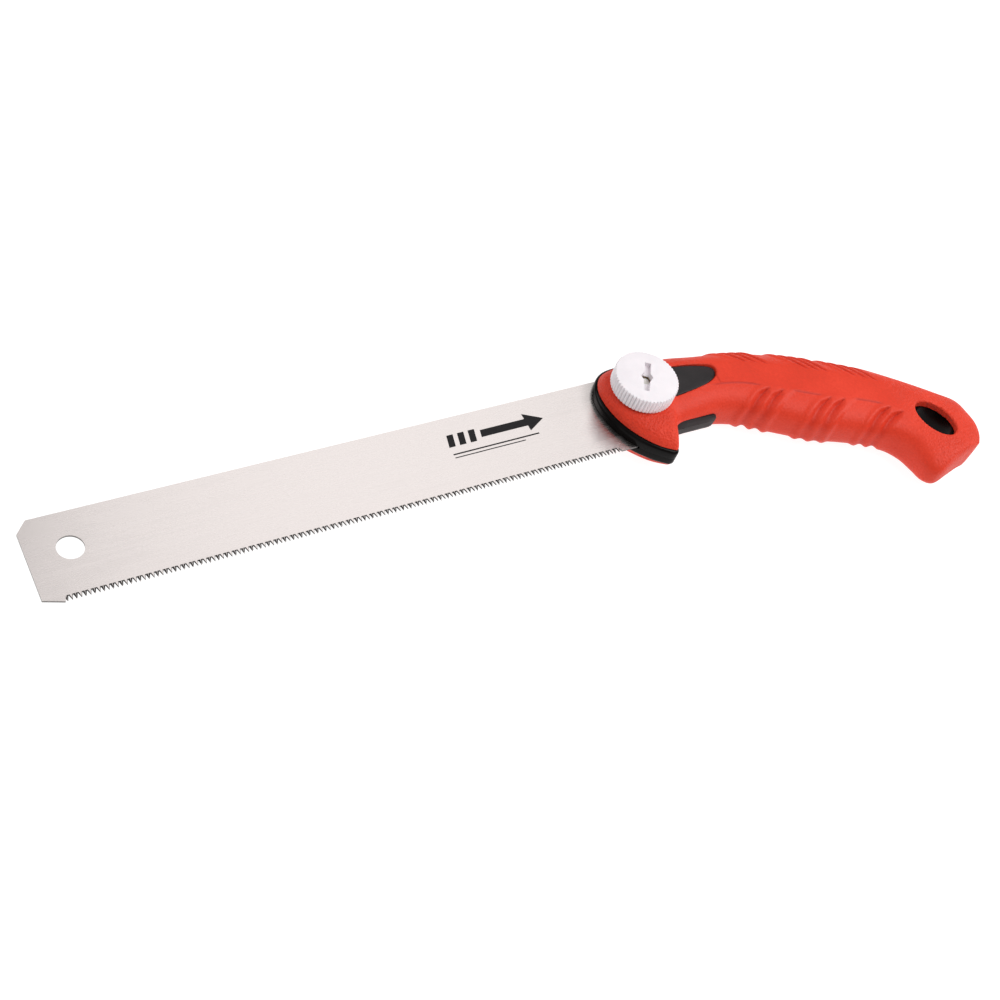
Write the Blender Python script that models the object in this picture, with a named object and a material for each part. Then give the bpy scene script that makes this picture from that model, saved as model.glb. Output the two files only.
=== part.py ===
"""Pull saw with an exchangeable blade, clamped in a slotted pistol handle by a knurled knob.

Sizes are in millimetres and become metres when a mesh is made.
Origin: on the clamp screw's axis, on the plane that the saw lies on.
+Z runs up the clamp screw to the knob, -X points at the blade's tip, +X at the handle's butt,
and the teeth are on the -Y side. Heights called "local" count from the blade's middle plane.
"""
import math

import bmesh
import bpy
from mathutils import Vector

MM = 0.001
MID_Z = 12.5                # height of the blade's middle plane above the resting plane
GAP = 0.3                   # gap between pieces that touch on the real saw
CUT_OVERRUN = 20.0          # how far a through cutter runs past the solid
ROOT_Z = 1.0                # where a boss starts inside the plate that it stands on

# blade
BLADE_THICK = 0.9
SPINE_Y = 16.9
TOOTH_TIP_Y = -22.7
TOOTH_DEPTH = 2.5
TOOTH_PITCH = 1.8
TOOTH_COUNT = 142
TOOTH_LAND = 0.25           # flat at each tooth's point, so that the solid has no needle ends
TOOTH_LEAN = 0.57           # share of the pitch from a tooth's point to the next gullet
TOOTH_START_X = -275.1
TIP_X = -284.2
TIP_CHAMFER = (6.0, 5.4)    # along the spine and down from it
TIP_CORNER = 2.8            # height of the tip's lower corner above the tooth line
TIP_LEAN = 0.9              # how far the tip's edge leans back at the top
TIP_HOLE = (-266.1, 0.0, 5.5)        # x, y, radius
SHOULDER_X = -9.0
PLAIN_EDGE_Y = TOOTH_TIP_Y + 0.3     # the toothless edge next to the shoulder
TANG_END_X = 13.0
TANG_HALF = 11.0
TANG_CHAMFER = 2.0
TANG_SLOT_HALF = 3.3

# clamp screw stack, heights local
BOLT_R = 2.9
BOLT_HEAD_R = 8.0
BOLT_HEAD_THICK = 2.6
BOLT_NECK_HALF = 3.1
BOLT_NECK_LENGTH = 2.5
BOLT_TOP = 16.5
BOLT_CHAMFER = 0.5
BORE_R = 3.3
SEAT_Z = 10.6               # the knob side seat in the core
SEAT_R = 10.2
PLATE_R = 9.5
PLATE_THICK = 0.9
WASHER_R = 9.4
THRUST_Z = SEAT_Z + 1.0     # underside of the thrust washer
THRUST_THICK = 1.0
SPRING_Z = SEAT_Z + 0.2
SPRING_INNER_R = 3.5
SPRING_OUTER_R = 8.6
SPRING_THICK = 0.3
SPRING_DISH = 0.3
PIN_R = 2.0
PIN_EDGE = 0.4
PIN_HALF_LENGTH = 3.9
PIN_X = 4.0
PIN_Y = 13.4

# knob, heights local
KNOB_R = 15.2
KNOB_BOTTOM = 11.9
KNOB_TOP = 19.8
KNURL_COUNT = 56
KNURL_DEPTH = 0.45
KNOB_EDGE = 0.4
COIN_SLOT = (17.0, 3.0, 2.3)         # length, width, depth
COIN_SLOT_ANGLE = math.radians(56.0)
KNOB_HEX_HALF = 2.5                  # half the width across flats of the hole in the knob's face
NUT_HALF = 5.0                       # half the nut's width across flats
NUT_BOTTOM = 13.2
NUT_TOP = 16.6

# core and grip, heights local
CORE_HALF = 4.7             # half thickness of the core plate
ISLAND_TOP = 11.3           # top of the leaf-shaped island that shows through the grip
SLOT_HALF = BLADE_THICK / 2 + GAP
POCKET_PLAY = 0.45          # room round the blade's root, in the blade's plane
POCKET_BACK = 3.0           # room behind the tang
HANG_HOLE = (140.2, -56.4)
HANG_HOLE_HALVES = (11.5, 7.75)      # half its length and half its width
HANG_HOLE_ANGLE = math.radians(-61.3)
COLLAR_WALL = 1.8           # the core's collar round the hanging hole
COLLAR_TOP = 7.4
CORE_SCREWS = [(25.0, -11.5), (25.0, 10.0), (62.0, -6.0), (91.0, -19.5), (117.0, -34.5)]
SCREW_R = 1.45
SCREW_HEAD_R = 2.7
SCREW_HEAD_THICK = 1.7
SCREW_TIP = -3.7
SCREW_POINT = 1.4
SCREW_POINT_R = 0.5
SCREW_CROWN = 0.8
GRIP_ROUNDNESS = 2.6        # exponent of the grip's cross-section
GRIP_FLATTEN = 1.05         # how far the section is overdrawn before its sides are cut flat

# the core's outline, counter-clockwise from the top of the nose: rim and fin, then the part
# under the grip
RIM_OUTLINE = [(4.0, 19.4), (-2.0, 19.6), (-8.0, 18.7), (-13.0, 15.8), (-16.9, 10.6), (-19.1, 3.4),
               (-19.0, -3.6), (-17.3, -11.0), (-14.8, -17.3), (-11.0, -22.8), (-6.4, -27.6),
               (-1.6, -31.6), (1.8, -33.4), (4.2, -32.6), (6.4, -28.4), (8.4, -24.2)]
INNER_OUTLINE = [(10.6, -17.0), (26.0, -14.6), (39.4, -15.2), (50.0, -18.0), (62.0, -24.6),
                 (77.0, -33.2), (96.0, -41.4), (112.0, -48.6), (123.0, -57.0), (128.0, -66.0),
                 (130.5, -75.8), (137.0, -75.6), (150.0, -71.4), (159.0, -65.0), (161.8, -57.0),
                 (155.0, -46.0), (140.0, -32.6), (120.0, -18.6), (100.0, -6.6), (80.0, 1.4),
                 (60.0, 8.0), (40.0, 11.4), (20.0, 13.8), (5.0, 14.6)]
# the bare strip of core behind the fin: x from, to, inner y, then height and outer y on the far
# side, in the middle and on the knob side
STRIP_X = (8.4, 36.0)
STRIP_ROOT_Y = -13.0
STRIP_EDGE = [(-6.8, -18.0), (-3.0, -19.2), (0.0, -19.4), (2.4, -19.2), (4.6, -18.6)]
STRIP_OVERCUT = 1.0         # how far the strip's window runs out past the grip
# the space round the nose that the rim fills, so that no grip is left in front of it
NOSE_SPACE = [(-30.0, -45.0), (9.2, -45.0), (9.2, -19.8), (4.6, -19.8), (4.6, 30.0), (-30.0, 30.0)]
NOSE_EXTRA = 0.1            # its extra half height, so that no two cuts share a face
# the leaf-shaped island: a round seat with a pointed tail
LEAF_R = 11.0
LEAF_TAIL = [(15.0, -8.2), (26.0, -7.1), (34.0, -5.8), (40.0, -3.2), (42.3, 0.3), (40.4, 3.1),
             (34.0, 5.4), (26.0, 7.1), (15.0, 8.4)]

# grip cross-sections, nose to butt: belly x, y, spine x, y, thickness to the knob side, to the
# far side
STATIONS = [(-17.4, -1.5, -17.4, 4.5, 5.7, 5.7), (-16.8, -6.0, -16.6, 9.0, 8.0, 8.4),
            (-14.8, -13.0, -14.0, 13.8, 10.0, 11.0), (-11.0, -20.5, -10.0, 17.2, 11.2, 12.2),
            (-5.0, -28.2, -4.0, 19.0, 11.5, 12.5), (0.5, -32.4, 2.0, 19.2, 11.5, 12.5),
            (3.4, -33.3, 5.0, 19.1, 11.5, 12.5), (6.2, -29.4, 8.0, 18.9, 11.5, 12.5),
            (8.4, -24.6, 11.0, 18.6, 11.6, 12.5), (10.6, -21.0, 14.5, 18.4, 11.7, 12.5),
            (16.0, -19.2, 20.0, 18.0, 11.9, 12.5), (26.0, -19.0, 30.0, 17.0, 12.2, 12.5),
            (38.0, -19.5, 42.0, 15.3, 12.5, 12.5), (50.0, -22.6, 55.0, 13.2, 12.5, 12.5),
            (60.0, -28.6, 67.0, 10.6, 12.5, 12.5), (70.0, -34.6, 80.0, 6.3, 12.5, 12.5),
            (82.0, -41.4, 94.0, 0.5, 12.5, 12.5), (96.0, -46.8, 108.0, -6.5, 12.5, 12.5),
            (108.0, -51.8, 122.0, -14.3, 12.4, 12.4), (117.0, -57.2, 134.0, -22.8, 12.2, 12.2),
            (121.7, -64.6, 145.4, -31.0, 11.8, 11.8), (122.7, -71.6, 155.4, -38.6, 11.4, 11.4),
            (123.0, -78.5, 163.8, -46.3, 11.0, 11.0), (127.5, -82.0, 166.6, -54.8, 10.6, 10.6),
            (138.0, -79.6, 165.6, -62.0, 10.2, 10.4), (147.0, -77.0, 162.4, -68.8, 9.4, 10.0),
            (152.6, -75.6, 159.2, -73.4, 7.4, 8.6)]

# colour (linear RGB), roughness, metallic
FINISHES = {
    "grip_red": ((0.74, 0.070, 0.035), 0.55, 0.0),
    "core_black": ((0.022, 0.020, 0.021), 0.35, 0.0),
    "knob_white": ((0.88, 0.85, 0.86), 0.45, 0.0),
    "blade_steel": ((0.72, 0.69, 0.67), 0.35, 1.0),
    "zinc_steel": ((0.55, 0.56, 0.58), 0.35, 1.0),
    "brass": ((0.80, 0.58, 0.30), 0.3, 1.0),
}


# ---------------------------------------------------------------- meshes

def clear_scene():
    for obj in list(bpy.data.objects):
        bpy.data.objects.remove(obj, do_unlink=True)


def finish(name):
    """One Principled material for each finish, made once."""
    material = bpy.data.materials.get(name)
    if material is None:
        color, roughness, metallic = FINISHES[name]
        material = bpy.data.materials.new(name)
        material.use_nodes = True
        shader = material.node_tree.nodes["Principled BSDF"]
        shader.inputs["Base Color"].default_value = (*color, 1.0)
        shader.inputs["Roughness"].default_value = roughness
        shader.inputs["Metallic"].default_value = metallic
        material.diffuse_color = (*color, 1.0)
    return material


def mesh_object(name, verts, faces):
    """A linked object from millimetre points with local heights."""
    mesh = bpy.data.meshes.new(name)
    mesh.from_pydata([(x * MM, y * MM, (z + MID_Z) * MM) for x, y, z in verts], [], faces)
    edit = bmesh.new()
    edit.from_mesh(mesh)
    bmesh.ops.recalc_face_normals(edit, faces=edit.faces)
    edit.to_mesh(mesh)
    edit.free()
    obj = bpy.data.objects.new(name, mesh)
    bpy.context.collection.objects.link(obj)
    return obj


def stack(name, rings):
    """A closed solid through rings of equal point count, capped at both ends."""
    count = len(rings[0])
    verts = [point for ring in rings for point in ring]
    faces = [list(range(count)), [len(verts) - count + i for i in range(count)]]
    for level in range(len(rings) - 1):
        low, high = level * count, (level + 1) * count
        for i in range(count):
            j = (i + 1) % count
            faces.append([low + i, low + j, high + j, high + i])
    return mesh_object(name, verts, faces)


def tube(name, rings):
    """A ring-shaped solid: the last ring joins the first again."""
    count = len(rings[0])
    verts = [point for ring in rings for point in ring]
    faces = []
    for level in range(len(rings)):
        low, high = level * count, (level + 1) % len(rings) * count
        for i in range(count):
            j = (i + 1) % count
            faces.append([low + i, low + j, high + j, high + i])
    return mesh_object(name, verts, faces)


def prism(name, outline, low, high):
    return stack(name, [[(x, y, low) for x, y in outline], [(x, y, high) for x, y in outline]])


def boolean(target, other, operation):
    """Apply a boolean with another solid and remove that solid."""
    modifier = target.modifiers.new(operation.lower(), "BOOLEAN")
    modifier.operation = operation
    modifier.solver = "EXACT"
    modifier.object = other
    graph = bpy.context.evaluated_depsgraph_get()
    graph.update()
    mesh = bpy.data.meshes.new_from_object(target.evaluated_get(graph))
    target.modifiers.remove(modifier)
    target.data = mesh
    bpy.data.objects.remove(other, do_unlink=True)


def cut(target, *others):
    for other in others:
        boolean(target, other, "DIFFERENCE")


def fuse(target, *others):
    for other in others:
        boolean(target, other, "UNION")


# ---------------------------------------------------------------- outlines

def circle(radius, count, center=(0.0, 0.0)):
    turn = 2 * math.pi / count
    return [(center[0] + radius * math.cos(i * turn), center[1] + radius * math.sin(i * turn))
            for i in range(count)]


def polygon_ring(half_width, sides, count):
    """Points spread round a regular polygon with a given half width across its flats."""
    points = []
    for i in range(count):
        angle = 2 * math.pi * i / count
        sector = 2 * math.pi / sides
        off_flat = (angle + sector / 2) % sector - sector / 2
        radius = half_width / math.cos(off_flat)
        points.append((radius * math.cos(angle), radius * math.sin(angle)))
    return points


def at(points, z):
    return [(x, y, z) for x, y in points]


def ellipse(center, halves, angle, count=32):
    c, s = math.cos(angle), math.sin(angle)
    points = []
    for x, y in circle(1.0, count):
        along, across = x * halves[0], y * halves[1]
        points.append((center[0] + c * along - s * across, center[1] + s * along + c * across))
    return points


def rectangle(x0, x1, y0, y1):
    return [(x0, y0), (x1, y0), (x1, y1), (x0, y1)]


def spline(points, steps):
    """Open Catmull-Rom curve through points of any dimension, with steps points a span."""
    curve = []
    last = len(points) - 1
    for k in range(last):
        p0, p1 = points[max(k - 1, 0)], points[k]
        p2, p3 = points[k + 1], points[min(k + 2, last)]
        for step in range(steps):
            t = step / steps
            weights = (-0.5 * t + t * t - 0.5 * t ** 3, 1 - 2.5 * t * t + 1.5 * t ** 3,
                       0.5 * t + 2 * t * t - 1.5 * t ** 3, -0.5 * t * t + 0.5 * t ** 3)
            curve.append(tuple(sum(w * p[d] for w, p in zip(weights, (p0, p1, p2, p3)))
                               for d in range(len(p1))))
    curve.append(tuple(points[-1]))
    return curve


def grown(outline, distance):
    """The outline moved outwards by a distance, corner by corner."""
    area = sum(a[0] * b[1] - b[0] * a[1] for a, b in zip(outline, outline[1:] + outline[:1]))
    side = 1 if area > 0 else -1
    result = []
    for i, point in enumerate(outline):
        before = Vector(point) - Vector(outline[i - 1])
        after = Vector(outline[(i + 1) % len(outline)]) - Vector(point)
        normals = [Vector((edge.y, -edge.x)).normalized() for edge in (before, after)]
        corner = (normals[0] + normals[1]).normalized()
        reach = distance / max(corner.dot(normals[0]), 0.5)
        result.append((point[0] + side * reach * corner.x, point[1] + side * reach * corner.y))
    return result


def core_outline():
    return spline(RIM_OUTLINE, 2) + spline(INNER_OUTLINE, 2)


def leaf_outline():
    """The round seat from tail to tail, then the pointed tail."""
    start = math.atan2(LEAF_TAIL[-1][1], LEAF_TAIL[-1][0])
    end = math.atan2(LEAF_TAIL[0][1], LEAF_TAIL[0][0]) + 2 * math.pi
    count = 14
    seat = []
    for i in range(1, count):
        angle = start + (end - start) * i / count
        seat.append((LEAF_R * math.cos(angle), LEAF_R * math.sin(angle)))
    return seat + spline(LEAF_TAIL, 2)


def blade_outline():
    """Counter-clockwise from the first tooth, round the tang's fork and back along the spine."""
    points = []
    for i in range(TOOTH_COUNT):
        x = TOOTH_START_X + i * TOOTH_PITCH
        points.append((x, TOOTH_TIP_Y))
        points.append((x + TOOTH_LAND, TOOTH_TIP_Y))
        points.append((x + TOOTH_PITCH * TOOTH_LEAN, TOOTH_TIP_Y + TOOTH_DEPTH))
    end_x = TOOTH_START_X + TOOTH_COUNT * TOOTH_PITCH
    tang_x, tang_y = TANG_END_X - TANG_CHAMFER, TANG_HALF - TANG_CHAMFER
    points += [(end_x, PLAIN_EDGE_Y), (SHOULDER_X, PLAIN_EDGE_Y)]
    points += [(SHOULDER_X, -TANG_HALF), (tang_x, -TANG_HALF), (TANG_END_X, -tang_y)]
    arc = [(-TANG_SLOT_HALF * math.sin(a), -TANG_SLOT_HALF * math.cos(a))
           for a in [math.pi * i / 10 for i in range(11)]]
    points += [(TANG_END_X, -TANG_SLOT_HALF)] + arc + [(TANG_END_X, TANG_SLOT_HALF)]
    points += [(TANG_END_X, tang_y), (tang_x, TANG_HALF), (SHOULDER_X, TANG_HALF)]
    points += [(SHOULDER_X, SPINE_Y), (TIP_X + TIP_CHAMFER[0], SPINE_Y)]
    points += [(TIP_X + TIP_LEAN, SPINE_Y - TIP_CHAMFER[1]), (TIP_X, TOOTH_TIP_Y + TIP_CORNER)]
    return points


# ---------------------------------------------------------------- pieces

def make_blade():
    blade = prism("blade", blade_outline(), -BLADE_THICK / 2, BLADE_THICK / 2)
    x, y, radius = TIP_HOLE
    cut(blade, prism("hole", circle(radius, 28, (x, y)), -CUT_OVERRUN, CUT_OVERRUN))
    return blade


def pocket_outline():
    """The space in the core that the blade's root and tang slide into."""
    front = SHOULDER_X - CUT_OVERRUN
    shoulder = SHOULDER_X + POCKET_PLAY
    back = TANG_END_X + POCKET_BACK
    half = TANG_HALF + POCKET_PLAY
    low, high = TOOTH_TIP_Y - POCKET_PLAY, SPINE_Y + POCKET_PLAY
    return [(front, low), (shoulder, low), (shoulder, -half), (back, -half),
            (back, half), (shoulder, half), (shoulder, high), (front, high)]


def hang_outline(extra):
    """The hanging hole, grown by this much all round."""
    halves = (HANG_HOLE_HALVES[0] + extra, HANG_HOLE_HALVES[1] + extra)
    return ellipse(HANG_HOLE, halves, HANG_HOLE_ANGLE)


def make_core_half(name, side):
    """side is 1 for the half under the knob and -1 for the half with the bolt head."""
    low, high = sorted((side * GAP / 2, side * CORE_HALF))
    half = prism(name, core_outline(), low, high)
    low, high = sorted((side * ROOT_Z, side * ISLAND_TOP))
    fuse(half, prism("island", leaf_outline(), low, high))
    low, high = sorted((side * ROOT_Z, side * COLLAR_TOP))
    fuse(half, prism("collar", hang_outline(COLLAR_WALL), low, high))
    edge = [(z, y) for z, y in STRIP_EDGE if side * z > 0]
    edge = sorted(edge + [(side * ROOT_Z, STRIP_EDGE[2][1])])
    fuse(half, stack("strip", [at(rectangle(*STRIP_X, y, STRIP_ROOT_Y), z) for z, y in edge]))
    plate_space = circle(PLATE_R + GAP, 24)
    plate_top = SLOT_HALF + PLATE_THICK + GAP
    cut(half, prism("slot", pocket_outline(), -SLOT_HALF, SLOT_HALF),
        prism("hole", hang_outline(-GAP), -CUT_OVERRUN, CUT_OVERRUN),
        prism("plate", plate_space, -plate_top, plate_top),
        prism("bore", circle(BORE_R, 16), -CUT_OVERRUN, CUT_OVERRUN))
    for y in (-PIN_Y, PIN_Y):
        cut(half, prism("pin", circle(PIN_R + GAP, 12, (PIN_X, y)),
                        -PIN_HALF_LENGTH - GAP, PIN_HALF_LENGTH + GAP))
    for center in CORE_SCREWS:
        cut(half, prism("screw", circle(SCREW_R + GAP, 10, center), SCREW_TIP - GAP, CUT_OVERRUN))
        cut(half, prism("head", circle(SCREW_HEAD_R + GAP, 12, center),
                        CORE_HALF - SCREW_HEAD_THICK - 2 * GAP, CUT_OVERRUN))
    if side > 0:
        cut(half, prism("seat", circle(SEAT_R, 28), SEAT_Z, CUT_OVERRUN))
    else:
        head_top = -MID_Z + BOLT_HEAD_THICK + GAP
        neck_top = head_top + BOLT_NECK_LENGTH
        cut(half, prism("head", circle(BOLT_HEAD_R + GAP, 28), -CUT_OVERRUN, head_top),
            prism("neck", polygon_ring(BOLT_NECK_HALF + GAP, 4, 16), -CUT_OVERRUN, neck_top))
    return half


def grip_section(station, count=26):
    belly = Vector(station[0:2])
    spine = Vector(station[2:4])
    middle, reach = (belly + spine) / 2, (spine - belly) / 2
    ring = []
    for i in range(count):
        angle = 2 * math.pi * i / count
        c, s = math.cos(angle), math.sin(angle)
        across = math.copysign(abs(c) ** (2 / GRIP_ROUNDNESS), c)
        rise = math.copysign(min(1.0, GRIP_FLATTEN * abs(s) ** (2 / GRIP_ROUNDNESS)), s)
        height = rise * (station[4] if rise > 0 else station[5])
        ring.append((middle.x + across * reach.x, middle.y + across * reach.y, height))
    return ring


def make_grip():
    """The moulded sleeve: an outer skin with the core's space, both leaf windows and the
    hanging hole taken out of it."""
    grip = stack("grip_sleeve", [grip_section(station) for station in spline(STATIONS, 2)])
    space = CORE_HALF + GAP
    cut(grip, prism("core", grown(core_outline(), GAP), -space, space))
    nose_space = space + NOSE_EXTRA
    cut(grip, prism("nose", NOSE_SPACE, -nose_space, nose_space))
    strip_space = rectangle(STRIP_X[0] - GAP, STRIP_X[1] + GAP, STRIP_EDGE[2][1] - STRIP_OVERCUT,
                            STRIP_ROOT_Y)
    cut(grip, prism("strip", strip_space, STRIP_EDGE[0][0] - GAP, STRIP_EDGE[-1][0] + GAP))
    cut(grip, prism("leaf", grown(leaf_outline(), GAP), -CUT_OVERRUN, CUT_OVERRUN))
    cut(grip, prism("collar", hang_outline(COLLAR_WALL + GAP), -COLLAR_TOP - GAP, COLLAR_TOP + GAP))
    cut(grip, prism("hang", hang_outline(0.0), -CUT_OVERRUN, CUT_OVERRUN))
    return grip


def make_core_screw(index, center):
    """Pan head on the knob side, plain shank and a pointed end in the far half."""
    top = CORE_HALF - GAP
    under = top - SCREW_HEAD_THICK
    profile = ((SCREW_POINT_R, SCREW_TIP), (SCREW_R, SCREW_TIP + SCREW_POINT), (SCREW_R, under),
               (SCREW_HEAD_R, under), (SCREW_HEAD_R, top - SCREW_CROWN),
               (SCREW_HEAD_R - SCREW_CROWN, top))
    rings = [at(circle(radius, 12, center), z) for radius, z in profile]
    return stack("core_screw_%d" % index, rings)


def make_bolt():
    """Flat head, square neck, plain shank and a chamfered end."""
    count = 32
    edge = BOLT_CHAMFER
    head = -MID_Z + BOLT_HEAD_THICK
    neck = head + BOLT_NECK_LENGTH
    square = polygon_ring(BOLT_NECK_HALF, 4, count)
    rings = [at(circle(BOLT_HEAD_R - edge, count), -MID_Z), at(circle(BOLT_HEAD_R, count), -MID_Z + edge),
             at(circle(BOLT_HEAD_R, count), head), at(square, head), at(square, neck),
             at(circle(BOLT_R, count), neck), at(circle(BOLT_R, count), BOLT_TOP - edge),
             at(circle(BOLT_R - edge, count), BOLT_TOP)]
    return stack("clamp_bolt", rings)


def make_ring(name, inner, outer, low, high, count=28):
    """A flat washer."""
    return tube(name, [at(circle(inner, count), low), at(circle(outer, count), low),
                       at(circle(outer, count), high), at(circle(inner, count), high)])


def make_spring_washer():
    """A dished washer: its inner edge stands higher than its outer edge."""
    count = 28
    inner, outer = circle(SPRING_INNER_R, count), circle(SPRING_OUTER_R, count)
    return tube("spring_washer", [at(inner, SPRING_Z + SPRING_DISH), at(outer, SPRING_Z),
                                  at(outer, SPRING_Z + SPRING_THICK),
                                  at(inner, SPRING_Z + SPRING_DISH + SPRING_THICK)])


def make_guide_pin(name, y):
    shoulder = PIN_HALF_LENGTH - PIN_EDGE
    profile = ((PIN_R - PIN_EDGE, -PIN_HALF_LENGTH), (PIN_R, -shoulder), (PIN_R, shoulder),
               (PIN_R - PIN_EDGE, PIN_HALF_LENGTH))
    return stack(name, [at(circle(radius, 12, (PIN_X, y)), z) for radius, z in profile])


def knurl_ring(radius, z):
    points = circle(radius, 2 * KNURL_COUNT)
    shrink = (radius - KNURL_DEPTH) / radius
    return [(x * (shrink if i % 2 else 1), y * (shrink if i % 2 else 1), z)
            for i, (x, y) in enumerate(points)]


def make_knob():
    plain = KNOB_R - KNURL_DEPTH - KNOB_EDGE
    knob = stack("knob_body", [at(circle(plain, 2 * KNURL_COUNT), KNOB_BOTTOM),
                               knurl_ring(KNOB_R, KNOB_BOTTOM + KNOB_EDGE),
                               knurl_ring(KNOB_R, KNOB_TOP - KNOB_EDGE),
                               at(circle(plain, 2 * KNURL_COUNT), KNOB_TOP)])
    length, width, depth = COIN_SLOT
    along = Vector((math.cos(COIN_SLOT_ANGLE), math.sin(COIN_SLOT_ANGLE))) * length / 2
    side = Vector((-math.sin(COIN_SLOT_ANGLE), math.cos(COIN_SLOT_ANGLE))) * width / 2
    slot = [tuple(-along - side), tuple(along - side), tuple(along + side), tuple(-along + side)]
    cut(knob, prism("washer_space", circle(WASHER_R + GAP, 28), 0.0, NUT_BOTTOM - GAP),
        prism("nut_space", polygon_ring(NUT_HALF + GAP, 6, 24), 0.0, NUT_TOP + GAP),
        prism("face_hole", polygon_ring(KNOB_HEX_HALF, 6, 12), 0.0, CUT_OVERRUN * 2),
        prism("coin_slot", slot, KNOB_TOP - depth, CUT_OVERRUN * 2))
    return knob


def make_nut():
    count = 24
    bore, hexagon = circle(BORE_R, count), polygon_ring(NUT_HALF, 6, count)
    return tube("knob_nut", [at(bore, NUT_BOTTOM), at(hexagon, NUT_BOTTOM), at(hexagon, NUT_TOP),
                             at(bore, NUT_TOP)])


# ---------------------------------------------------------------- assembly

def place(obj, material, origin=(0.0, 0.0, 0.0)):
    """Give a piece its material and smooth round sides, and put its origin where it turns or
    slides from, in local millimetres."""
    obj.data.materials.clear()
    obj.data.materials.append(finish(material))
    obj.data.shade_smooth()
    obj.data.set_sharp_from_angle(angle=math.radians(35))
    offset = Vector((origin[0], origin[1], origin[2] + MID_Z)) * MM
    for vertex in obj.data.vertices:
        vertex.co -= offset
    obj.location = offset


def build():
    clear_scene()
    plate_low = SLOT_HALF
    plate_high = SLOT_HALF + PLATE_THICK
    place(make_core_half("core_near_half", 1), "core_black")
    place(make_core_half("core_far_half", -1), "core_black")
    place(make_grip(), "grip_red")
    for index, center in enumerate(CORE_SCREWS, 1):
        place(make_core_screw(index, center), "zinc_steel", (*center, 0.0))
    place(make_bolt(), "zinc_steel")
    place(make_ring("pressure_plate_near", BORE_R, PLATE_R, plate_low, plate_high), "zinc_steel")
    place(make_ring("pressure_plate_far", BORE_R, PLATE_R, -plate_high, -plate_low), "zinc_steel")
    place(make_guide_pin("guide_pin_upper", PIN_Y), "zinc_steel", (PIN_X, PIN_Y, 0.0))
    place(make_guide_pin("guide_pin_lower", -PIN_Y), "zinc_steel", (PIN_X, -PIN_Y, 0.0))
    place(make_spring_washer(), "zinc_steel")
    place(make_ring("thrust_washer", BORE_R, WASHER_R, THRUST_Z, THRUST_Z + THRUST_THICK),
          "zinc_steel")
    place(make_knob(), "knob_white", (0.0, 0.0, KNOB_BOTTOM))
    place(make_nut(), "brass", (0.0, 0.0, KNOB_BOTTOM))
    place(make_blade(), "blade_steel")


build()
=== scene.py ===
"""Looks for the pull saw: finely toothed blade, moulded grip over a black core, knurled knob and
the hardware of its clamp.

Shapes and bumps are in millimetres in the part's own frame; heights called "local" count from
the blade's middle plane. Places in materials, the lights and the floor are in metres.
"""

import math

import bmesh
import bpy
import numpy as np
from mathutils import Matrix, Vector


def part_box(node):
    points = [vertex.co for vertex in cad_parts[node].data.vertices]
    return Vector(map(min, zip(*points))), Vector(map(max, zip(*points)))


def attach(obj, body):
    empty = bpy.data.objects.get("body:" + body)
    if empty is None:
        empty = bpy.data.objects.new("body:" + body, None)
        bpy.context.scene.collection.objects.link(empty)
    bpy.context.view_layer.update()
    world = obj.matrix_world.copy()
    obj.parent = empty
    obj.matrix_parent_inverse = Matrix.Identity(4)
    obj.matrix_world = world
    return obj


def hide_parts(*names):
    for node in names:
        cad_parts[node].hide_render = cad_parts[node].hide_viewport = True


MM = 0.001
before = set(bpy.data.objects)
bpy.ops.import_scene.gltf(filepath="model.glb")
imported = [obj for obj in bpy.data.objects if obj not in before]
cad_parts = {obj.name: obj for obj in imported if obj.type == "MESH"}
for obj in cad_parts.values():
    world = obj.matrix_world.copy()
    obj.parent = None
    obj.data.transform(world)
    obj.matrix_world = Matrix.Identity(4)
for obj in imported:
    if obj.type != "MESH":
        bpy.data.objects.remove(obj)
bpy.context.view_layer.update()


def edges(node):
    """A CAD node's lowest and highest corner in millimetres."""
    low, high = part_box(node)
    return Vector(low) / MM, Vector(high) / MM


BLADE_LOW, BLADE_HIGH = edges("blade")
KNOB_LOW, KNOB_HIGH = edges("knob_body")
NUT_LOW, NUT_HIGH = edges("knob_nut")
BOLT_LOW, BOLT_HIGH = edges("clamp_bolt")
WASHER_LOW, WASHER_HIGH = edges("thrust_washer")

MID_Z = (BLADE_LOW.z + BLADE_HIGH.z) / 2  # height of the blade's middle plane
GAP = 0.3  # clearance that the solids keep
THROUGH = 20.0  # how far a through cutter runs
SHARP = 35.0  # edges sharper than these degrees stay hard

# blade
BLADE_HALF = (BLADE_HIGH.z - BLADE_LOW.z) / 2
TOOTH_TIP_Y = BLADE_LOW.y
SPINE_Y = BLADE_HIGH.y
TIP_X = BLADE_LOW.x
TANG_END_X = BLADE_HIGH.x
TOOTH_DEPTH = 2.5
TOOTH_PITCH = 1.8
TOOTH_COUNT = 142
TOOTH_START_X = -275.1
TOOTH_BEVEL = 0.78  # how far a ground facet cuts into a tooth's face
TOOTH_TOUCH = 0.34  # the same on its other face
TOOTH_TIP_DROP = 0.7  # how far the ground side's point stands back from the cutting point
TOOTH_SET = 0.16  # sideways bend of the points, to alternate sides
FACE_POINT_HALF = 0.02  # half the length of a face's point
TOOTH_LAND = 0.12  # length of the point at the middle
TOOTH_LEAN = 0.43  # share of the pitch in front of the point
NOSE_SHADE_CENTER = (10.0, -4.0)
NOSE_SHADE_REACH = (30.0, 38.0)  # painted shade next to the nose, for its shadow and dark reflection on the blade, fades out between these radii
TIP_HOLE = (-266.1, 0.0, 5.5)
TIP_CHAMFER = (6.0, 5.4)
TIP_LEAN = 0.9
TIP_CORNER = 2.8
SHOULDER_X = -9.0
PLAIN_EDGE_Y = TOOTH_TIP_Y + 0.3
TANG_HALF = 11.0
TANG_CHAMFER = 2.0
TANG_SLOT_HALF = 3.3
BLADE_SHARP = 20.0
FACET, SHEARED = 1, 2  # places of these finishes on the blade

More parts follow.
